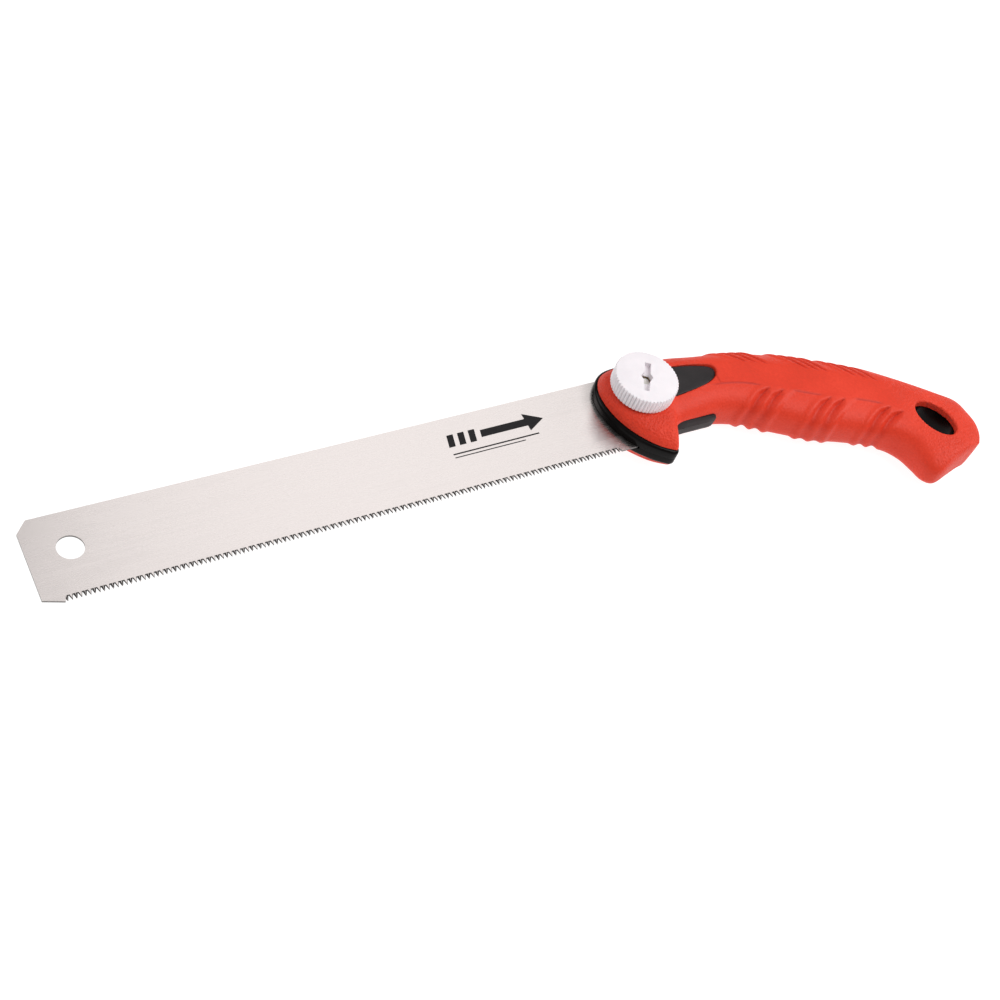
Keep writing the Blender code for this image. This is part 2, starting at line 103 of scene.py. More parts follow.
# printed mark: leaning bars, an arrow and two rules
PRINT_THICK = 0.02
PRINT_X = (-97.0, -47.0)
ARROW_Y = 4.6
BAR_HALF, BAR_WIDTH, BAR_PITCH, BAR_LEAN = 3.2, 3.2, 5.4, 1.6
SHAFT_START, SHAFT_HALF, SHAFT_LEAN = 17.0, 1.9, 0.96
HEAD_LENGTH, HEAD_HALF = 9.0, 4.8
RULES = ((-2.9, -2.2, 6.0), (-4.6, -4.1, 14.0))  # low, high, how much shorter than the mark

# core, heights local
CORE_HALF = 4.7
ISLAND_TOP = edges("core_near_half")[1].z - MID_Z
SLOT_HALF = BLADE_HALF + GAP
POCKET_PLAY = 0.45  # room round the blade inside the core
POCKET_BACK = 3.0  # room behind its tang
ROOT_Z = 1.0  # where a boss starts inside the core
BORE_R = 3.3
SEAT_Z = edges("spring_washer")[0].z - MID_Z - 0.2
SEAT_R = 10.2
PLATE_SPACE = (9.8, 2.0)  # radius and half height of the pressure plates' space
SCREW_SPACE = (1.75, 3.0, 2.1, -4.0)  # radii of shank and head, heights of head and tip
PIN_SPACE = (2.3, 4.2)
HANG_HOLE = (140.2, -56.4)
HANG_HOLE_HALVES = (11.5, 7.75)
HANG_HOLE_ANGLE = math.radians(-61.3)
COLLAR_WALL = 1.8  # the core's collar round the hanging hole
COLLAR_TOP = 7.4
BUTT_X = 60.0  # behind here the core is glossy
GLOSS, DULL = 1, 2  # places of these finishes on a core half
RIM_OUTLINE = [(4.0, 19.4), (-2.0, 19.6), (-8.0, 18.7), (-13.0, 15.8), (-16.9, 10.6), (-19.1, 3.4),
               (-19.0, -3.6), (-17.3, -11.0), (-14.8, -17.3), (-11.0, -22.8), (-6.4, -27.6),
               (-1.6, -31.6), (1.8, -33.4), (4.2, -32.6), (6.4, -28.4), (8.4, -24.2)]
INNER_OUTLINE = [(10.6, -17.0), (26.0, -14.6), (39.4, -15.2), (50.0, -18.0), (62.0, -24.6),
                 (77.0, -33.2), (96.0, -41.4), (112.0, -48.6), (123.0, -57.0), (128.0, -66.0),
                 (130.5, -75.8), (137.0, -75.6), (150.0, -71.4), (159.0, -65.0), (161.8, -57.0),
                 (155.0, -46.0), (140.0, -32.6), (120.0, -18.6), (100.0, -6.6), (80.0, 1.4),
                 (60.0, 8.0), (40.0, 11.4), (20.0, 13.8), (5.0, 14.6)]
RIM_ROUND = 1.7  # radius of the rim's outer edges
PART_ROUND = 0.05  # broken edge where the halves meet
STRIP_X = (8.6, 35.3)  # the bare strip of core along the belly
STRIP_Z = (-6.8, 3.6)
STRIP_FLARE = 1.7  # how much wider it is at the fin, on the knob side
STRIP_STRAIGHT = 17.0  # in front of here it leaves the fin's flare and runs straight on
STRIP_ROOT_Y = -13.0
STRIP_PROUD = 0.3
STRIP_CORNER = 2.6
STRIP_EDGE = ((1.0, 0.5), (0.985, 0.15), (0.95, 0.0), (0.6, 0.0), (0.3, 0.0))  # size, step back
NOSE_SPACE = [(-30.0, -45.0), (9.2, -45.0), (9.2, -19.8), (4.6, -19.8), (4.6, 30.0), (-30.0, 30.0)]
LEAF_R = 11.0
LEAF_TAIL = [(15.0, -8.2), (26.0, -7.1), (34.0, -5.8), (40.0, -3.2), (42.3, 0.3), (40.4, 3.1),
             (34.0, 5.4), (26.0, 7.1), (15.0, 8.4)]
LEAF_ROUND = 0.7  # rounding of the grip's edges at its windows
HANG_ROUND = 0.9

# grip cross-sections, nose to butt: belly x, y, spine x, y, thickness near, thickness far
STATIONS = [(-17.4, -1.5, -17.4, 4.5, 5.7, 5.7), (-16.8, -6.0, -16.6, 9.0, 8.0, 8.4),
            (-14.8, -13.0, -14.0, 13.8, 10.0, 11.0), (-11.0, -20.5, -10.0, 17.2, 11.2, 12.2),
            (-5.0, -28.2, -4.0, 19.0, 11.5, 12.5), (0.5, -32.4, 2.0, 19.2, 11.5, 12.5),
            (3.4, -33.3, 5.0, 19.1, 11.5, 12.5), (6.2, -29.4, 8.0, 18.9, 11.5, 12.5),
            (8.4, -24.6, 11.0, 18.6, 11.6, 12.5), (10.6, -21.0, 14.5, 18.4, 11.7, 12.5),
            (16.0, -19.2, 20.0, 18.0, 11.9, 12.5), (26.0, -19.0, 30.0, 17.0, 12.2, 12.5),
            (38.0, -19.5, 42.0, 15.3, 12.5, 12.5), (50.0, -22.6, 55.0, 13.2, 12.5, 12.5),
            (60.0, -28.6, 67.0, 10.6, 12.5, 12.5), (70.0, -34.6, 80.0, 6.3, 12.5, 12.5),
            (82.0, -41.4, 94.0, 0.5, 12.5, 12.5), (96.0, -46.8, 108.0, -6.5, 12.5, 12.5),
            (108.0, -51.8, 122.0, -14.3, 12.4, 12.4), (117.0, -57.2, 134.0, -22.8, 12.2, 12.2),
            (121.7, -64.6, 145.4, -31.0, 11.8, 11.8), (122.7, -71.6, 155.4, -38.6, 11.4, 11.4),
            (123.0, -78.5, 164.2, -46.1, 11.0, 11.0), (127.5, -82.0, 166.2, -54.8, 10.6, 10.6),
            (138.0, -79.6, 165.6, -62.0, 10.2, 10.4), (147.0, -77.0, 162.4, -68.8, 9.4, 10.0),
            (152.6, -75.6, 159.2, -73.4, 7.4, 8.6)]
GRIP_ROUNDNESS = 2.6
GRIP_FLATTEN = 1.025
PANEL_SHARE = 0.34  # half width of the flat side panel over the grip's half width
ROW_PITCH = 0.38
GRIP_COLUMNS = 216
TYPICAL_HALVES = (20.0, 12.4)  # of a section, to space the columns by
GRIP_SHARP = 42.0

# grip ribs: distances along the grip's middle line, where they meet the side panel
BELLY_GROUPS = (91.9, 123.9, 155.9)
BELLY_CREASES = (-3.6, 3.6)
BACK_GROUPS = (87.6, 118.8, 143.6)
BACK_CREASES = (-5.2, 0.0, 5.2)
RIB_DEPTH = 2.0
SHADE_ATTRIBUTE = "painted_shade"  # attribute: painted shade along the creases, over their valleys, at the pads' ledge and at the panel's front
LINE_HALF = 0.42  # half width of a painted shade line along the creases
LINE_START = (0.2, 1.2)  # it starts and fades between these distances from the panel
LINE_FADE = (6.0, 13.0)
VALLEY_SHADE = 0.42  # how much of the creases' painted shade the whole valley takes
VALLEY_START = (1.5, 6.0)
VALLEY_FADE = (17.0, 24.0)
VALLEY_REACH = (0.3, 0.9)  # from a distance to a share of the way to the crest
EDGE_CALM = (9.0, 17.0)  # distances round the grip between which the ribs grow shallower
PAD_DEPTH = 0.45
PAD_SIDE = 3.6  # length of the soft slope down into a pad
PAD_DEEPEN = (3.0, 12.0)  # a pad gets twice as deep between these distances from the panel
BELLY_EDGE, BELLY_STEP, BELLY_WIDEN = 0.35, (-0.1, 0.35), (1.0, 5.0)
BACK_EDGE, BACK_STEP, BACK_WIDEN = 7.0, (-4.0, 4.0), (4.0, 12.0)
SWEEP = 14.0  # how far the ribs run forwards between the panel and the edge
SWEEP_ARC = 21.0  # over this length round the grip
PAD_START = (58.0, 66.0)
PANEL_FRONT = 62.0
PANEL_RISE = 0.3
STEP_RISE, STEP_FALL = (50.0, 61.0), (62.0, 62.5)  # distances along the grip for its step
PAD_FRONT, LEDGE_FRONT = (40.0, 60.0), (56.0, 61.0)  # and for the pads and their ledge
GROOVE_HALF = 1.2
GROOVE_POWER = 1.15
WAVE_HALF = 0.4  # half the height of the soft waves, over the creases' depth
FOLD_START, FOLD_FULL, FOLD_LOSS = (0.5, 2.0), (1.0, 5.0), 0.66
CREASE_SOFT = (4.0, 13.0)  # distances round the grip between which the creases turn soft
BELLY_FULL = 0.7  # how far the ribbed belly stands out past the plain section
FULL_START, FULL_END = (58.0, 76.0), (172.0, 190.0)

# knob and clamp, heights local
KNOB_R = (KNOB_HIGH.x - KNOB_LOW.x) / 2
KNOB_BOTTOM = KNOB_LOW.z - MID_Z
KNOB_TOP = KNOB_HIGH.z - MID_Z
KNURL_COUNT = 56
KNURL_DEPTH = 0.8
KNOB_ROUND = 0.7
RIDGE_POINTS = 12  # points round the rim for each ridge
RIDGE_FADE = 0.75  # share of a ridge's depth that is gone at the knob's face
RIDGE_POWER = 0.45  # below 1 a ridge gets wider than the groove beside it
COIN_SLOT = (17.0, 3.0, 2.3)
COIN_SLOT_ANGLE = math.radians(56.0)
KNOB_HEX_HALF = 2.5
NUT_HALF = 5.0
WASHER_R = (WASHER_HIGH.x - WASHER_LOW.x) / 2
BOLT_R = 2.9
BOLT_HEAD_R = (BOLT_HIGH.x - BOLT_LOW.x) / 2
BOLT_HEAD_THICK = 2.6
BOLT_NECK_HALF = 3.1
BOLT_NECK_LENGTH = 2.5
THREAD_PITCH = 1.0
THREAD_DEPTH = 0.45
THREAD_LEVELS = 8  # levels for each turn of thread
TURN_POINTS = 72  # points round every turned shape


# ---- meshes

def mesh_object(name, verts, faces, sharp=SHARP):
    """A linked smooth-shaded object from millimetre points with local heights."""
    mesh = bpy.data.meshes.new(name)
    points = (np.asarray(verts, float) + (0.0, 0.0, MID_Z)) * MM
    mesh.from_pydata(points.tolist(), [], faces)
    obj = bpy.data.objects.new(name, mesh)
    bpy.context.scene.collection.objects.link(obj)
    outwards(obj)
    smooth(obj, sharp)
    return obj


def outwards(obj):
    """Turn every face of a closed solid to the outside."""
    edit = bmesh.new()
    edit.from_mesh(obj.data)
    bmesh.ops.recalc_face_normals(edit, faces=edit.faces)
    if edit.calc_volume(signed=True) < 0:
        bmesh.ops.reverse_faces(edit, faces=edit.faces)
    edit.to_mesh(obj.data)
    edit.free()


def smooth(obj, sharp):
    obj.data.shade_smooth()
    obj.data.set_sharp_from_angle(angle=math.radians(sharp))


def grid_faces(rows, columns, closed=False):
    """Quads of a grid whose columns go round; closed joins the last row to the first."""
    faces = []
    for row in range(rows if closed else rows - 1):
        low, high = row * columns, (row + 1) % rows * columns
        for i in range(columns):
            j = (i + 1) % columns
            faces.append((low + i, low + j, high + j, high + i))
    return faces


def solid_faces(rows, columns, first=0):
    """Faces of a closed solid through rings of points: the grid's quads and a cap at each end."""
    last = (rows - 1) * columns
    faces = grid_faces(rows, columns) + [range(columns), range(last, last + columns)]
    return [tuple(first + i for i in face) for face in faces]


def stack(name, rings, sharp=SHARP):
    """A closed solid through rings of equal point count."""
    verts = [point for ring in rings for point in ring]
    return mesh_object(name, verts, solid_faces(len(rings), len(rings[0])), sharp)


def prism(name, outline, low, high):
    return stack(name, [at(outline, low), at(outline, high)])


def coat(obj, *finishes):
    """Give an object these materials and no others."""
    obj.data.materials.clear()
    for finish in finishes:
        obj.data.materials.append(finish)
    return obj


def boolean(target, other, operation, sharp):
    modifier = target.modifiers.new(operation.lower(), "BOOLEAN")
    modifier.operation = operation
    modifier.solver = "EXACT"
    modifier.object = other
    graph = bpy.context.evaluated_depsgraph_get()
    graph.update()
    mesh = bpy.data.meshes.new_from_object(target.evaluated_get(graph))
    target.modifiers.remove(modifier)
    target.data = mesh
    bpy.data.objects.remove(other, do_unlink=True)
    smooth(target, sharp)


def cut(target, *others, sharp=SHARP):
    for other in others:
        boolean(target, other, "DIFFERENCE", sharp)


def fuse(target, other):
    boolean(target, other, "UNION", SHARP)


# ---- outlines

def at(points, z):
    return [(x, y, z) for x, y in points]


def circle(radius, count, center=(0.0, 0.0)):
    turn = 2 * math.pi / count
    return [(center[0] + radius * math.cos(i * turn), center[1] + radius * math.sin(i * turn))
            for i in range(count)]


def polygon_ring(half_width, sides, count):
    """Points spread round a regular polygon with a given half width across its flats."""
    sector = 2 * math.pi / sides
    points = []
    for i, (x, y) in enumerate(circle(1.0, count)):
        off_flat = (2 * math.pi * i / count + sector / 2) % sector - sector / 2
        radius = half_width / math.cos(off_flat)
        points.append((radius * x, radius * y))
    return points


def spline(points, steps):
    """Open Catmull-Rom curve through points of any dimension, with steps points a span."""
    points = np.asarray(points, float)
    last = len(points) - 1
    curve = []
    for k in range(last):
        p0, p1 = points[max(k - 1, 0)], points[k]
        p2, p3 = points[k + 1], points[min(k + 2, last)]
        for step in range(steps):
            t = step / steps
            curve.append((-0.5 * t + t * t - 0.5 * t ** 3) * p0
                         + (1 - 2.5 * t * t + 1.5 * t ** 3) * p1
                         + (0.5 * t + 2 * t * t - 1.5 * t ** 3) * p2
                         + (-0.5 * t * t + 0.5 * t ** 3) * p3)
    curve.append(points[-1])
    return np.array(curve)


def grown(outline, distance):
    """The outline moved outwards by a distance, corner by corner."""
    points = np.asarray(outline, float)
    after = np.roll(points, -1, axis=0) - points
    before = points - np.roll(points, 1, axis=0)
    area = np.sum(points[:, 0] * np.roll(points[:, 1], -1) - np.roll(points[:, 0], -1) * points[:, 1])
    side = math.copysign(1.0, area)
    normals = []
    for edge in (before, after):
        away = np.stack([edge[:, 1], -edge[:, 0]], axis=1)
        normals.append(away / np.linalg.norm(away, axis=1, keepdims=True))
    corner = normals[0] + normals[1]
    corner /= np.linalg.norm(corner, axis=1, keepdims=True)
    reach = distance / np.maximum(np.sum(corner * normals[0], axis=1), 0.5)
    return points + side * reach[:, None] * corner


def round_edge(radius, steps):
    """Distances from the end and from the wall at points round an edge, from wall to end."""
    turns = [math.pi / 2 * i / steps for i in range(steps + 1)] if radius else [0.0]
    return [(radius * (1 - math.sin(a)), radius * (1 - math.cos(a))) for a in turns]


def rounded_levels(low, high, low_round, high_round, steps=6):
    """Heights and insets of an upright wall whose lower and upper edges are rounded."""
    lower = [(low + rise, inset) for rise, inset in round_edge(low_round, steps)]
    return lower[::-1] + [(high - drop, inset) for drop, inset in round_edge(high_round, steps)]


def rounded_rings(outline, *levels):
    """Rings of an extruded outline whose edges are rounded inwards."""
    return [at(grown(outline, -inset), z) for z, inset in rounded_levels(*levels)]


def core_outline():
    return np.concatenate([spline(RIM_OUTLINE, 5), spline(INNER_OUTLINE, 2)])


def leaf_outline():
    """The round seat from tail to tail, then the pointed tail."""
    start = math.atan2(LEAF_TAIL[-1][1], LEAF_TAIL[-1][0])
    end = math.atan2(LEAF_TAIL[0][1], LEAF_TAIL[0][0]) + 2 * math.pi
    turns = np.linspace(start, end, 49)[1:-1]
    seat = [(LEAF_R * math.cos(a), LEAF_R * math.sin(a)) for a in turns]
    return np.concatenate([seat, spline(LEAF_TAIL, 6)])


def strip_face(play):
    """The strip's edge seen from the belly, in x and z: square at the nose, round behind."""
    x0, x1 = STRIP_X[0] - play, STRIP_X[1] + play
    z0, z1 = STRIP_Z[0] - play, STRIP_Z[1] + play
    radius = STRIP_CORNER + play
    turns = np.linspace(0.0, math.pi / 2, 9)
    low = [(x1 - radius + radius * math.sin(a), z0 + radius - radius * math.cos(a)) for a in turns]
    high = [(x1 - radius + radius * math.cos(a), z1 - radius + radius * math.sin(a)) for a in turns]
    front = [(x, z0) for x in np.linspace(x0, x1 - radius, 24)[:-1]]
    back = [(x, z1) for x in np.linspace(x1 - radius, x0, 24)[1:]]
    return [(x, z + STRIP_FLARE * (x1 - x) / (x1 - x0) if z > 0 else z)
            for x, z in front + low + high + back]


# ---- blade

def tooth_points(index):
    """A tooth's left root, point, point land and right root: at the blade's middle, on the face
    that is ground hard and on the face that is only touched. Teeth alternate between the two."""
    tip = TOOTH_START_X + index * TOOTH_PITCH
    left, right = tip - TOOTH_LEAN * TOOTH_PITCH, tip + (1 - TOOTH_LEAN) * TOOTH_PITCH
    root, middle = TOOTH_TIP_Y + TOOTH_DEPTH, tip + TOOTH_LAND / 2
    levels = [[(left, root), (tip, TOOTH_TIP_Y), (tip + TOOTH_LAND, TOOTH_TIP_Y), (right, root)]]
    for bevel, drop in ((TOOTH_BEVEL, TOOTH_TIP_DROP), (TOOTH_TOUCH, TOOTH_TIP_DROP / 2)):
        y = TOOTH_TIP_Y + drop
        levels.append([(left + bevel, root), (middle - FACE_POINT_HALF, y),
                       (middle + FACE_POINT_HALF, y), (right - bevel, root)])
    return levels


def blade_sides():
    """Outlines of the near face, the middle and the far face, and which walls are ground."""
    near, middle, far, ground_walls = [], [], [], set()
    for index in range(TOOTH_COUNT):
        plain, ground, touched = tooth_points(index)
        bend = TOOTH_SET if index % 2 else -TOOTH_SET
        first = len(near)
        ground_walls.update((first, first + 2))
        on_near, on_far = (touched, ground) if index % 2 else (ground, touched)
        for k in range(4):
            shift = bend if k in (1, 2) else 0.0
            near.append((*on_near[k], BLADE_HALF + shift))
            middle.append((*plain[k], shift))
            far.append((*on_far[k], -BLADE_HALF + shift))
    end_x = TOOTH_START_X + TOOTH_COUNT * TOOTH_PITCH
    tang_x, tang_y = TANG_END_X - TANG_CHAMFER, TANG_HALF - TANG_CHAMFER
    fork = [(-TANG_SLOT_HALF * math.sin(a), -TANG_SLOT_HALF * math.cos(a))
            for a in np.linspace(0.0, math.pi, 17)]
    rest = [(end_x, PLAIN_EDGE_Y), (SHOULDER_X, PLAIN_EDGE_Y), (SHOULDER_X, -TANG_HALF),
            (tang_x, -TANG_HALF), (TANG_END_X, -tang_y), (TANG_END_X, -TANG_SLOT_HALF), *fork,
            (TANG_END_X, TANG_SLOT_HALF), (TANG_END_X, tang_y), (tang_x, TANG_HALF),
            (SHOULDER_X, TANG_HALF), (SHOULDER_X, SPINE_Y), (TIP_X + TIP_CHAMFER[0], SPINE_Y),
            (TIP_X + TIP_LEAN, SPINE_Y - TIP_CHAMFER[1]), (TIP_X, TOOTH_TIP_Y + TIP_CORNER),
            (TOOTH_START_X - TOOTH_PITCH / 2, TOOTH_TIP_Y)]
    return (near + at(rest, BLADE_HALF), middle + at(rest, 0.0), far + at(rest, -BLADE_HALF),
            ground_walls)


def make_blade(*finishes):
    near, middle, far, ground_walls = blade_sides()
    blade = coat(stack("saw_blade", (near, middle, far), BLADE_SHARP), *finishes)
    for wall in ground_walls:
        blade.data.polygons[wall].material_index = FACET
        blade.data.polygons[len(near) + wall].material_index = FACET
    x, y, radius = TIP_HOLE
    cut(blade, prism("hole", circle(radius, 96, (x, y)), -THROUGH, THROUGH), sharp=BLADE_SHARP)
    for face in blade.data.polygons:
        if face.material_index != FACET and abs(face.normal.z) < 0.5:
            face.material_index = SHEARED
    return blade


def print_shapes():
    """Outlines of three leaning bars, the arrow after them and the rules below."""
    start, point = PRINT_X
    low, high = ARROW_Y - BAR_HALF, ARROW_Y + BAR_HALF
    shapes = []
    for left in (start, start + BAR_PITCH, start + 2 * BAR_PITCH):
        shapes.append([(left, low), (left + BAR_WIDTH, low), (left + BAR_WIDTH + BAR_LEAN, high),
                       (left + BAR_LEAN, high)])
    low, high = ARROW_Y - SHAFT_HALF, ARROW_Y + SHAFT_HALF
    tail, neck = start + SHAFT_START, point - HEAD_LENGTH
    shapes.append([(tail, low), (neck, low), (neck, ARROW_Y - HEAD_HALF), (point, ARROW_Y),
                   (neck, ARROW_Y + HEAD_HALF), (neck, high), (tail + SHAFT_LEAN, high)])
    for low, high, shorter in RULES:
        end = point - shorter
        shapes.append([(start, low), (end, low), (end, high), (start, high)])
    return shapes


def make_print(ink):
    """A generic pull arrow over two thin rules, printed on the near face."""
    verts, faces = [], []
    for shape in print_shapes():
        faces += solid_faces(2, len(shape), len(verts))
        verts += at(shape, BLADE_HALF) + at(shape, BLADE_HALF + PRINT_THICK)
    return coat(mesh_object("blade_print", verts, faces), ink)


# ---- core

def pocket_outline():
    """The space in the core that the blade's root and tang slide into."""
    front, shoulder, back = SHOULDER_X - THROUGH, SHOULDER_X + POCKET_PLAY, TANG_END_X + POCKET_BACK
    half, low, high = TANG_HALF + POCKET_PLAY, TOOTH_TIP_Y - POCKET_PLAY, SPINE_Y + POCKET_PLAY
    return [(front, low), (shoulder, low), (shoulder, -half), (back, -half),
            (back, half), (shoulder, half), (shoulder, high), (front, high)]


def belly_surface(x, z):
    """The y of the grip's belly under a point of the strip."""
    dense = spline(STATIONS, 12)
    y = np.interp(max(x, STRIP_STRAIGHT), dense[:, 0], dense[:, 1])
    half = np.interp(x, dense[:, 0], np.linalg.norm(dense[:, 2:4] - dense[:, 0:2], axis=1) / 2)
    thick = np.interp(x, dense[:, 0], dense[:, 4 if z > 0 else 5])
    rise = min(abs(z) / thick / GRIP_FLATTEN, 1.0)
    sine = rise ** (GRIP_ROUNDNESS / 2)
    across = (1 - sine * sine) ** (1 / GRIP_ROUNDNESS)
    return y + half * (1 - across)


def make_strip(side):
    """One core half's share of the belly strip, a little proud of the grip and rounded all round."""
    limit = GAP / 10
    face = [(x, side * max(side * z, limit)) for x, z in strip_face(0.0)]
    middle_x = sum(STRIP_X) / 2
    middle_z = side * (STRIP_Z[1] if side > 0 else -STRIP_Z[0]) / 2
    rings = [[(x, STRIP_ROOT_Y, z) for x, z in face]]
    for share, drop in STRIP_EDGE:
        ring = []
        for x, z in face:
            px = middle_x + (x - middle_x) * share
            pz = z if abs(z) <= limit else middle_z + (z - middle_z) * share
            ring.append((px, belly_surface(px, pz) - STRIP_PROUD + drop, pz))
        rings.append(ring)
    return stack("strip", rings)


def hang_outline(extra):
    """The hanging hole's ellipse, grown by this much all round."""
    c, s = math.cos(HANG_HOLE_ANGLE), math.sin(HANG_HOLE_ANGLE)
    points = []
    for x, y in circle(1.0, 96):
        along, across = x * (HANG_HOLE_HALVES[0] + extra), y * (HANG_HOLE_HALVES[1] + extra)
        points.append((HANG_HOLE[0] + c * along - s * across, HANG_HOLE[1] + s * along + c * across))
    return points


def node_center(node):
    low, high = edges(node)
    return (low.x + high.x) / 2, (low.y + high.y) / 2


def make_core_half(name, side, *finishes):
    """side is 1 for the half under the knob and -1 for the half with the bolt head."""
    def lying(rings):
        return [[(x, y, side * z) for x, y, z in ring] for ring in rings]

    low = GAP / 20
    half = stack(name, lying(rounded_rings(core_outline(), low, CORE_HALF, PART_ROUND, RIM_ROUND)))
    fuse(half, stack("island", lying(rounded_rings(leaf_outline(), ROOT_Z, ISLAND_TOP, 0.0, 0.5, 4))))
    collar = hang_outline(COLLAR_WALL)
    fuse(half, stack("collar", lying([at(collar, ROOT_Z), at(collar, COLLAR_TOP)])))
    fuse(half, make_strip(side))
    plate_r, plate_half = PLATE_SPACE
    cut(half, prism("slot", pocket_outline(), -SLOT_HALF, SLOT_HALF),
        prism("hole", hang_outline(-GAP), -THROUGH, THROUGH),
        prism("plate", circle(plate_r, 48), -plate_half, plate_half),
        prism("bore", circle(BORE_R, 32), -THROUGH, THROUGH))
    shank_r, head_r, head_low, tip = SCREW_SPACE
    for node in (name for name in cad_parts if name.startswith("core_screw_")):
        center = node_center(node)
        cut(half, prism("screw", circle(shank_r, 16, center), tip, THROUGH),
            prism("head", circle(head_r, 24, center), head_low, THROUGH))
    pin_r, pin_half = PIN_SPACE
    for node in ("guide_pin_upper", "guide_pin_lower"):
        cut(half, prism("pin", circle(pin_r, 20, node_center(node)), -pin_half, pin_half))
    if side > 0:
        cut(half, prism("seat", circle(SEAT_R, 72), SEAT_Z, THROUGH))
    else:
        head_top = BOLT_LOW.z - MID_Z + BOLT_HEAD_THICK + GAP
        cut(half, prism("head", circle(BOLT_HEAD_R + GAP, 72), -THROUGH, head_top),
            prism("neck", polygon_ring(BOLT_NECK_HALF + GAP, 4, 32), -THROUGH,
                  head_top + BOLT_NECK_LENGTH))
    coat(half, *finishes)
    for face in half.data.polygons:
        x, y, z = (value / MM for value in face.center)
        if x > BUTT_X or (x < STRIP_X[0] and abs(z - MID_Z) <= CORE_HALF + 0.01):
            face.material_index = GLOSS
        elif y < STRIP_ROOT_Y:
            face.material_index = DULL
    return half


# ---- grip

def smoothstep(x, low, high):
    t = np.clip((x - low) / (high - low), 0.0, 1.0)
    return t * t * (3 - 2 * t)


def grip_rows():
    """Cross-sections at an even pitch along the grip's middle line, and their distance along it."""
    dense = spline(STATIONS, 24)
    middle = (dense[:, 0:2] + dense[:, 2:4]) / 2
    run = np.concatenate([[0.0], np.cumsum(np.linalg.norm(np.diff(middle, axis=0), axis=1))])
    along = np.linspace(0.0, run[-1], int(run[-1] / ROW_PITCH) + 1)
    rows = np.stack([np.interp(along, run, dense[:, k]) for k in range(dense.shape[1])], axis=1)
    return rows, along


def section_curve(angles):
    """Across and rise, from -1 to 1, of a flattened superellipse."""
    c, s = np.cos(angles), np.sin(angles)
    power = 2 / GRIP_ROUNDNESS
    across = np.sign(c) * np.abs(c) ** power
    rise = np.sign(s) * np.minimum(1.0, GRIP_FLATTEN * np.abs(s) ** power)
    return across, rise


def column_angles():
    """Angles that space the columns evenly round a typical section."""
    fine = np.linspace(0.0, 2 * math.pi, 4001)
    across, rise = section_curve(fine)
    step = np.hypot(np.diff(across) * TYPICAL_HALVES[0], np.diff(rise) * TYPICAL_HALVES[1])
    run = np.concatenate([[0.0], np.cumsum(step)])
    return np.interp(np.linspace(0.0, run[-1], GRIP_COLUMNS + 1)[:-1], run, fine)


def rib_relief(along, arc, groups, creases, pad_edge, widen):
    """How far the surface stands back for the creases and for the pads between their groups, and
    how much painted shade each point takes: dark lines along the creases, a lighter shade over
    their valleys, and lines at the pads' ledge and across the panel's front. A pad drops over the
    length pad_edge at the side panel, and a groove opens between the lengths in widen."""
    sweep = SWEEP * (1 - (1 - np.clip(arc, 0.0, SWEEP_ARC) / SWEEP_ARC) ** 2)
    place = along + sweep
    spacing = (creases[-1] - creases[0]) / (len(creases) - 1)
    crest = spacing / 2
    outer = creases[-1] + crest
    width = GROOVE_HALF + (crest - GROOVE_HALF) * smoothstep(arc, *widen)
    soft = smoothstep(arc, *CREASE_SOFT)
    folds, lines, valley_shade = (np.zeros(along.shape) for _ in range(3))
    pads = np.ones(along.shape)
    for group in groups:
        offset = place - group
        nearest = np.min(np.abs(offset[..., None] - np.array(creases)), axis=-1)
        groove = (1 - np.clip(nearest / width, 0.0, 1.0)) ** GROOVE_POWER
        wave = WAVE_HALF * (1 + np.cos(math.pi * np.clip(nearest / crest, 0.0, 1.0)))
        folds = np.where(np.abs(offset) < outer, (1 - soft) * groove + soft * wave, folds)
        # painted shade: a dark line along each of the creases and a lighter shade over their valleys
        lines = np.maximum(lines, np.exp(-(nearest / LINE_HALF) ** 2))
        valley_shade = np.maximum(valley_shade, 1 - smoothstep(nearest, VALLEY_REACH[0], VALLEY_REACH[1] * crest))
        pads = np.minimum(pads, smoothstep(np.abs(offset), outer, outer + PAD_SIDE))
    pads = np.where(place > groups[-1] + outer, 0.0, pads)
    folds *= RIB_DEPTH * smoothstep(along, *PAD_START) * smoothstep(arc, *FOLD_START)
    folds *= 0.5 + 0.5 * smoothstep(arc, *FOLD_FULL) - FOLD_LOSS * smoothstep(arc, *EDGE_CALM)
    lines *= smoothstep(arc, *LINE_START) * (1 - smoothstep(arc, *LINE_FADE))
    valley_shade *= VALLEY_SHADE * smoothstep(arc, *VALLEY_START) * (1 - smoothstep(arc, *VALLEY_FADE))
    lines = np.maximum(lines, valley_shade)
    pads *= PAD_DEPTH * (1 + smoothstep(arc, *PAD_DEEPEN))
    pads *= smoothstep(along, *PAD_FRONT)
    # painted shade lines along the pads' ledge and across the panel's front
    if pad_edge < 1.0:
        ledge = np.minimum(pads / PAD_DEPTH, 1.0) * np.exp(-((arc - pad_edge / 2) / LINE_HALF) ** 2)
        ledge *= smoothstep(along, *LEDGE_FRONT)
        front = np.exp(-((along - PANEL_FRONT - 0.2) / LINE_HALF) ** 2) * smoothstep(-arc, 0.0, 1.0)
        lines = np.maximum(lines, np.maximum(ledge, 0.5 * front))
    return folds + pads * smoothstep(arc, -0.1, pad_edge), lines


def panel_rise(along, arc, edge):
    """The side panel starts at a step down to the neck, which fades out forwards. edge holds the
    distances from the panel between which the step fades out at its sides."""
    rising = smoothstep(along, *STEP_RISE)
    falling = smoothstep(along, *STEP_FALL)
    return -PANEL_RISE * rising * (1 - falling) * (1 - smoothstep(arc, *edge))


